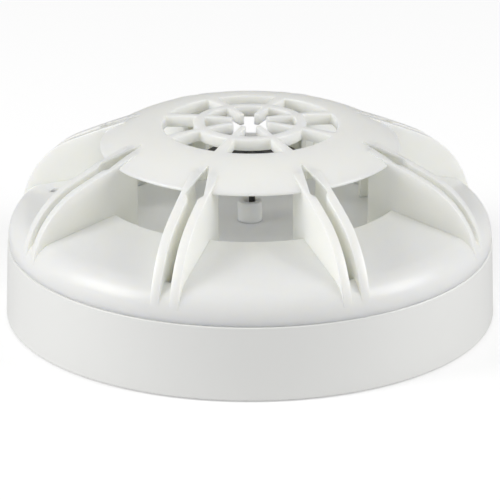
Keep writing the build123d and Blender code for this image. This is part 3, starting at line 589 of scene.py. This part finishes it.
# ------------------------------------------------------------------ head cover
@dataclass
class HeadCover:
    """The head's outer moulding: side, bays, fins, crown and grille."""

    count: int = 8
    band_z: float = 18.6
    wall: float = 1.9
    rim_reach: float = 0.07            # how far the rim reaches into the seam over the base
    shoulder_r: float = 6.0
    bay_slope: float = math.radians(15.7)
    sill_r: float = 32.2
    sill_z: float = 27.5
    pit_wall: float = 1.8
    fin_half_width: float = 3.1
    channel_half: float = 1.05
    channel_slack: float = 0.02        # by which the shell's cut clears the fins' faces
    fin_inner_r: float = 27.2
    uncut_end_r: float = 30.6          # material left for the slot's cutter ends here
    flare_end_r: float = 34.1
    fin_arc_r: float = 20.25
    fin_step: float = 0.05
    fin_arc_start: float = math.radians(64)
    fin_top: Point2 = (25.0, 40.75)
    fin_top_bulge: float = 0.17
    channel_end_r: float = 47.5
    crown_arc_r: float = 24.0
    crown_arc_centre: Point2 = (18.0, 17.6)
    crown_edge_r: float = 31.6
    crown_edge_z: float = 36.9
    slot_tip_r: float = 25.0
    slot_tip_half: float = 0.22
    slot_wide_r: float = 33.3
    slot_neck_r: float = 34.5
    slot_half: float = 2.05
    slot_skin: float = 0.7
    grille_r: float = 18.5
    grille_rise: float = 1.0
    grille_depth: float = 2.5
    ring_outer_r: float = 11.9
    ring_inner_r: float = 9.75
    spoke_tip_r: float = 4.0
    spoke_halves: tuple[float, float, float] = (0.6, 0.8, 1.25)
    lamp_azimuth: float = math.radians(-100.4)
    lamp_r: float = 42.1
    lamp_hole_r: float = 1.0
    boss_count: int = 4
    boss_at_r: float = 37.0
    boss_r: float = 3.2
    pilot_r: float = 1.3
    pilot_end: float = 2.9             # from the bay's surface down to the end of the pilot hole
    edge_round: float = 0.3
    shell_edge_round: float = 0.24
    grid_shift: float = 0.013          # keeps the dividing planes off the plate's corners
    top_z: float = 60.0                # over everything, where cutters end
    cut_from_z: float = 17.6           # below the band, where cutters start
    pitch: float = field(init=False)
    rim_z: float = field(init=False)
    head_r: float = field(init=False)
    fin_arc_centre: Point2 = field(init=False)

    def __post_init__(self) -> None:
        """Works out the pitch of the repeats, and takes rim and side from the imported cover."""
        low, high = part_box("outer_cover")
        self.pitch = FULL_TURN / self.count
        self.rim_z = low[2] / MM - self.rim_reach
        self.head_r = (high[0] - low[0]) / 2 / MM
        self.fin_arc_centre = (self.head_r + self.fin_step - self.fin_arc_r, self.rim_z)

    def pair_azimuths(self) -> list[float]:
        """Azimuths of the fin pairs, in radians."""
        return [self.pitch * (i + 0.5) for i in range(self.count)]

    def shell_outline(self) -> list[Point2]:
        """Section of side, shoulder, bay floor and pit wall."""
        slope = math.tan(self.bay_slope)
        corner_z = self.sill_z - slope * (self.head_r - self.sill_r)
        drop = self.wall / math.cos(self.bay_slope)
        pit_r = self.sill_r + self.pit_wall
        inner_r = self.head_r - self.wall
        return rounded_outline([
            Corner(self.head_r, self.rim_z, 0.15, 3),
            Corner(self.head_r, corner_z, self.shoulder_r, 16),
            Corner(self.sill_r, self.sill_z, 0.5, 4),
            Corner(self.sill_r, self.band_z),
            Corner(pit_r, self.band_z),
            Corner(pit_r, self.sill_z - slope * self.pit_wall - drop, 0.5, 2),
            Corner(inner_r, corner_z + slope * self.wall - drop, self.shoulder_r - self.wall, 8),
            Corner(inner_r, self.rim_z),
        ])

    def round_plan(self, centre_r: float, radius: float) -> list[Point2]:
        """Plan of a round boss or hole at the front."""
        steps = 32
        turns = [FULL_TURN * i / steps for i in range(steps)]
        return [(radius * math.sin(t), -centre_r - radius * math.cos(t)) for t in turns]

    def channel_plan(self) -> list[Point2]:
        """Plan of the arrow-head slot and the channel behind it, at the front."""
        far = self.channel_end_r
        neck = self.channel_half + self.channel_slack
        wide = self.slot_half + self.channel_slack
        return [(0, -self.slot_tip_r), (wide, -self.slot_wide_r), (neck, -self.slot_neck_r),
                (neck, -far), (-neck, -far), (-neck, -self.slot_neck_r),
                (-wide, -self.slot_wide_r)]

    def shell(self) -> bmesh.types.BMesh:
        """Side, shoulder, bay floors and pit wall, cut through at the channels."""
        steps = 24 * self.count
        body = turned_solid(self.shell_outline(), steps, start=FULL_TURN / steps / 2)
        cutter = prism(self.channel_plan(), self.band_z, self.top_z)
        body = combined(body, repeated_round(cutter, self.pair_azimuths()), Cut.REMOVE)
        body = eased(body, self.shell_edge_round)
        hole = self.round_plan(self.lamp_r, self.lamp_hole_r)
        bore = prism(hole, self.band_z, self.top_z)
        body = combined(body, repeated_round(bore, [self.lamp_azimuth]), Cut.REMOVE)
        return self.with_bosses(body)

    def with_bosses(self, body: bmesh.types.BMesh) -> bmesh.types.BMesh:
        """Adds the bosses of the case screws, with their pilot holes, under the bays."""
        surface = self.sill_z - math.tan(self.bay_slope) * (self.boss_at_r - self.sill_r)
        quarters = [FULL_TURN * i / self.boss_count for i in range(self.boss_count)]
        boss = prism(self.round_plan(self.boss_at_r, self.boss_r), self.band_z,
                     surface - self.wall / 2)
        pilot = prism(self.round_plan(self.boss_at_r, self.pilot_r), self.cut_from_z,
                      surface - self.pilot_end)
        body = combined(body, repeated_round(boss, quarters), Cut.ADD)
        return combined(body, repeated_round(pilot, quarters), Cut.REMOVE)

    def fin_side_view(self) -> list[Point2]:
        """Side view of a fin in (radius, height)."""
        centre_r, centre_z = self.fin_arc_centre
        foot_turn = math.asin((self.band_z - centre_z) / self.fin_arc_r)
        rim = arc_points(self.fin_arc_centre, self.fin_arc_r, foot_turn, self.fin_arc_start, 28)
        top, shoulder = self.fin_top, rim[-1]
        crown: list[Point2] = []
        steps = 12
        for i in range(1, steps + 1):
            t = i / steps
            bulge = self.fin_top_bulge * 4 * t * (1 - t)
            crown.append((shoulder[0] + (top[0] - shoulder[0]) * t,
                          shoulder[1] + (top[1] - shoulder[1]) * t + bulge))
        return [*rim, *crown, (top[0], self.band_z)]

    def fin(self) -> bmesh.types.BMesh:
        """One fin of a pair, on the +X side of the channel at the front."""
        uncut = self.slot_tip_half
        plan = [(self.fin_half_width, -self.fin_inner_r), (uncut, -self.fin_inner_r),
                (uncut, -self.uncut_end_r), (self.channel_half, -self.flare_end_r),
                (self.channel_half, -self.head_r), (self.fin_half_width, -self.head_r)]
        block = prism(plan, self.cut_from_z, self.top_z)
        plate = upright_plate(self.fin_side_view(), 2 * self.fin_half_width)
        blade = combined(block, plate, Cut.KEEP_COMMON)
        return eased(blade, self.edge_round, 3)

    def fins(self) -> bmesh.types.BMesh:
        """All fins."""
        right = self.fin()
        left = right.copy()
        bmesh.ops.scale(left, vec=(-1, 1, 1), verts=left.verts)
        bmesh.ops.recalc_face_normals(left, faces=left.faces)
        return repeated_round(joined(right, left), self.pair_azimuths())

    def crown_plan(self) -> list[Point2]:
        """Plan of one eighth of crown and grille, centred on a fin pair at the front."""
        half = self.pitch / 2
        tip, ring, edge = self.spoke_halves
        at_inner = tip + (ring - tip) * ((self.ring_inner_r - self.spoke_tip_r)
                                         / (self.ring_outer_r - self.spoke_tip_r))

        def sweep(radius: float, first: float, last: float, steps: int) -> list[Point2]:
            """Points on a circle from one angle to another."""
            return [polar(radius, first + (last - first) * i / steps) for i in range(steps + 1)]

        right = sweep(self.crown_edge_r, 0, half, 12)
        right += sweep(self.grille_r, half, math.asin(edge / self.grille_r), 12)
        right += sweep(self.ring_outer_r, math.asin(ring / self.ring_outer_r), half, 10)
        right += sweep(self.ring_inner_r, half, math.asin(at_inner / self.ring_inner_r), 10)
        right.append((tip, -self.spoke_tip_r))
        left = [(-x, y) for x, y in reversed(right[1:])]
        return right + left

    def crown_surface(self, radius: float) -> float:
        """Height of the top of crown and grille at a radius."""
        centre_r, centre_z = self.crown_arc_centre
        if radius < self.grille_r:
            dome_r = (self.grille_r ** 2 + self.grille_rise ** 2) / (2 * self.grille_rise)
            edge = self.crown_surface(self.grille_r)
            return edge + self.grille_rise - dome_r + math.sqrt(dome_r ** 2 - radius ** 2)
        return centre_z + math.sqrt(self.crown_arc_r ** 2 - (radius - centre_r) ** 2)

    def crown(self) -> bmesh.types.BMesh:
        """Crown and grille: a flat plate with eased edges, divided and then domed."""
        plate = prism(self.crown_plan(), 0, self.grille_depth)
        half = self.pitch / 2
        sides = [Vector((math.cos(half), math.sin(half), 0)),
                 Vector((-math.cos(half), math.sin(half), 0))]

        def on_side(face: bmesh.types.BMFace) -> bool:
            """True for the two cut faces where one eighth meets the next."""
            return any(abs(face.normal.dot(side)) > 0.999 for side in sides) and all(
                min(abs(v.co.dot(side)) for side in sides) < WELD for v in face.verts)

        open_faces = [f for f in plate.faces if on_side(f)]
        bmesh.ops.delete(plate, geom=open_faces, context="FACES_ONLY")
        eased(plate, self.edge_round, 3)
        reach = int(self.crown_edge_r) + 1
        for axis, shift in (((1, 0, 0), 0.0), ((0, 1, 0), self.grid_shift)):
            for step in range(-reach, reach + 1):
                geom = plate.verts[:] + plate.edges[:] + plate.faces[:]
                at = Vector(axis) * (step + shift)
                bmesh.ops.bisect_plane(plate, geom=geom, plane_co=at, plane_no=axis, dist=1e-4)
        for vert in plate.verts:
            radius = math.hypot(vert.co.x, vert.co.y)
            depth = self.grille_depth - vert.co.z
            vert.co.z = max(self.crown_surface(radius) - depth, self.crown_edge_z)
        whole = repeated_round(plate, self.pair_azimuths())
        return tidied(whole)

    def slot_opening(self) -> bmesh.types.BMesh:
        """Cutter for one arrow-head slot, at the front."""
        right = [(self.slot_tip_half, -self.slot_tip_r), (self.slot_half, -self.slot_wide_r),
                 (self.channel_half, -self.slot_neck_r)]
        left = [(-x, y) for x, y in reversed(right)]
        return prism(right + left, self.cut_from_z, self.top_z)

    def slot_hollow(self) -> bmesh.types.BMesh:
        """Cutter for the wider room under the skin around one slot, at the front."""
        skin = self.slot_skin
        profile = [(r, z - skin) for r, z in self.fin_side_view()
                   if self.slot_tip_r < r < self.slot_wide_r and z > self.crown_edge_z]
        first, last = profile[-1], profile[0]
        rise = (first[1] - last[1]) / (first[0] - last[0])
        outer = (self.slot_wide_r, last[1] + rise * (self.slot_wide_r - last[0]))
        low = self.cut_from_z
        view = [outer, *profile, (first[0], low), (self.slot_wide_r, low)]
        return upright_plate(view, self.slot_half)

    def build(self, material: bpy.types.Material) -> bpy.types.Object:
        """Builds the moulding as one piece."""
        ribbed = combined(self.shell(), self.fins(), Cut.ADD)
        log.info("fins joined to the shell: %d faces", len(ribbed.faces))
        whole = combined(ribbed, self.crown(), Cut.ADD)
        log.info("crown joined: %d faces", len(whole.faces))
        for opening in (self.slot_opening(), self.slot_hollow()):
            whole = combined(whole, repeated_round(opening, self.pair_azimuths()), Cut.REMOVE)
        return placed(whole, "cover_moulding", "head",
                      ["outer_cover", "guard_fins", "crown_grille"], material)


# ------------------------------------------------------------------ plain nodes
@dataclass(frozen=True)
class Dressing:
    """Gives the carried-over nodes their finishes."""

    finishes: dict[str, MouldedPlastic | SheetMetal]

    def apply(self, effects: Effects) -> None:
        """Sets each shown node's material."""
        made = {}
        for name, finish in self.finishes.items():
            if finish.name not in made:
                made[finish.name] = finish.make(effects)
            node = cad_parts[name]
            node.data.materials.clear()
            node.data.materials.append(made[finish.name])
            log.info("%s: finish %s", name, finish.name)


def node_finishes() -> dict[str, MouldedPlastic | SheetMetal]:
    """Finish of every node that keeps its own shape."""
    finishes: dict[str, MouldedPlastic | SheetMetal] = {
        "base_moulding": SKIRT_ABS,
        "screen_contact": CONTACT_STEEL,
        "clamp_washers": ZINC_PLATE,
        "terminal_screws": ZINC_PLATE,
        "chamber_floor": CHAMBER_ABS,
        "rear_case": CASE_PLASTIC,
        "case_screws": ZINC_PLATE,
        "contact_rivets": TURNED_BRASS,
        "circuit_board": BOARD_GREEN,
        "microcontroller": EPOXY_BLACK,
        "bridge_rectifier": EPOXY_BLACK,
        "electrolytic_capacitor": CAPACITOR_CAN,
        "chip_capacitors": CERAMIC_TAN,
        "chip_resistors": EPOXY_BLACK,
        "transistors": EPOXY_BLACK,
        "reference_thermistor": SENSOR_GLASS,
        "status_led": LAMP_CLEAR,
        "light_pipe": LAMP_CLEAR,
        "thermistor_holder": CHAMBER_ABS,
        "thermistor_leads": TINNED_WIRE,
        "thermistor_sleeve": PROBE_BLACK,
        "thermistor_bead": PROBE_BLACK,
        "heat_collector_disc": COLLECTOR_BLACK,
    }
    for i in range(1, 5):
        finishes[f"base_contact_{i}"] = CONTACT_STEEL
        finishes[f"head_contact_{i}"] = CONTACT_BRONZE
    return finishes


# ------------------------------------------------------------------ studio
@dataclass(frozen=True)
class SoftLight:
    """A large soft lamp that points at the object."""

    name: str
    place: tuple[float, float, float]
    size: tuple[float, float]
    power: float
    colour: Colour = (1.0, 1.0, 1.0)

    def add(self, target: Vector) -> None:
        """Adds the lamp to the scene."""
        data = bpy.data.lights.new(self.name, "AREA")
        data.shape = "RECTANGLE"
        data.size, data.size_y = self.size
        data.energy = self.power
        data.color = self.colour
        lamp = bpy.data.objects.new(self.name, data)
        lamp.location = self.place
        aim = target - Vector(self.place)
        lamp.rotation_euler = aim.to_track_quat("-Z", "Y").to_euler()
        bpy.context.scene.collection.objects.link(lamp)


@dataclass(frozen=True)
class Studio:
    """Pale floor, soft light and camera."""

    camera_azimuth: float = math.radians(-2.6)
    camera_reach_mm: float = 843.8
    camera_height_mm: float = 333.1
    aim_height_mm: float = 13.2
    lens_mm: float = 305.07
    light_aim_mm: float = 20.0
    floor_half: float = 6.0
    floor_drop: float = 0.0002
    world_level: float = 0.42
    floor_glow: float = 0.45
    light_bounces: int = 12

    def build(self) -> None:
        """Builds floor, world, lamps and camera."""
        scene = bpy.context.scene
        scene.view_settings.view_transform = "Standard"
        scene.cycles.diffuse_bounces = self.light_bounces
        self.floor()
        self.sky()
        target = Vector((0, 0, self.light_aim_mm * MM))
        lights = (
            SoftLight("side_left", (-0.79, -0.20, 0.44), (0.5, 0.5), 4.6),
            SoftLight("side_right", (0.79, -0.26, 0.42), (0.5, 0.5), 4.0),
            SoftLight("front_high", (0.0, -0.55, 0.90), (0.9, 0.3), 0.35),
        )
        for light in lights:
            light.add(target)
        self.camera()

    def camera(self) -> None:
        """Places the camera."""
        x, y = polar(self.camera_reach_mm * MM, self.camera_azimuth)
        data = bpy.data.cameras.new("camera")
        data.lens = self.lens_mm
        camera = bpy.data.objects.new("camera", data)
        camera.location = (x, y, self.camera_height_mm * MM)
        aim = Vector((0, 0, self.aim_height_mm * MM)) - camera.location
        camera.rotation_euler = aim.to_track_quat("-Z", "Y").to_euler()
        bpy.context.scene.collection.objects.link(camera)
        bpy.context.scene.camera = camera

    def floor(self) -> None:
        """Adds a large pale floor."""
        bm = bmesh.new()
        bmesh.ops.create_grid(bm, x_segments=1, y_segments=1, size=self.floor_half)
        mesh = bpy.data.meshes.new("floor")
        bm.to_mesh(mesh)
        bm.free()
        floor = bpy.data.objects.new("floor", mesh)
        floor.location.z = -self.floor_drop
        bpy.context.scene.collection.objects.link(floor)
        material, lay, shader = new_material("floor_paper")
        shader.inputs["Base Color"].default_value = (0.66, 0.66, 0.66, 1)
        shader.inputs["Roughness"].default_value = 0.9
        shader.inputs["Specular IOR Level"].default_value = 0.2
        shader.inputs["Emission Color"].default_value = (1, 1, 1, 1)
        rays = lay.add("ShaderNodeLightPath")
        glow = lay.add("ShaderNodeMath", operation="MULTIPLY")
        glow.inputs[1].default_value = self.floor_glow
        lay.link(rays.outputs["Is Camera Ray"], glow.inputs[0])
        lay.link(glow.outputs[0], shader.inputs["Emission Strength"])
        mesh.materials.append(material)

    def sky(self) -> None:
        """Plain white surroundings."""
        world = bpy.data.worlds.new("surroundings")
        bpy.context.scene.world = world
        world.use_nodes = True
        back = world.node_tree.nodes["Background"]
        back.inputs["Color"].default_value = (1, 1, 1, 1)
        back.inputs["Strength"].default_value = self.world_level


def main() -> None:
    """Builds the scene."""
    logging.basicConfig(level=logging.INFO, format="%(name)s: %(message)s")
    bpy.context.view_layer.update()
    effects = Effects()
    Studio().build()
    Dressing(node_finishes()).apply(effects)
    HeadCover().build(WHITE_ABS.make(effects))


if __name__ == "__main__":
    main()
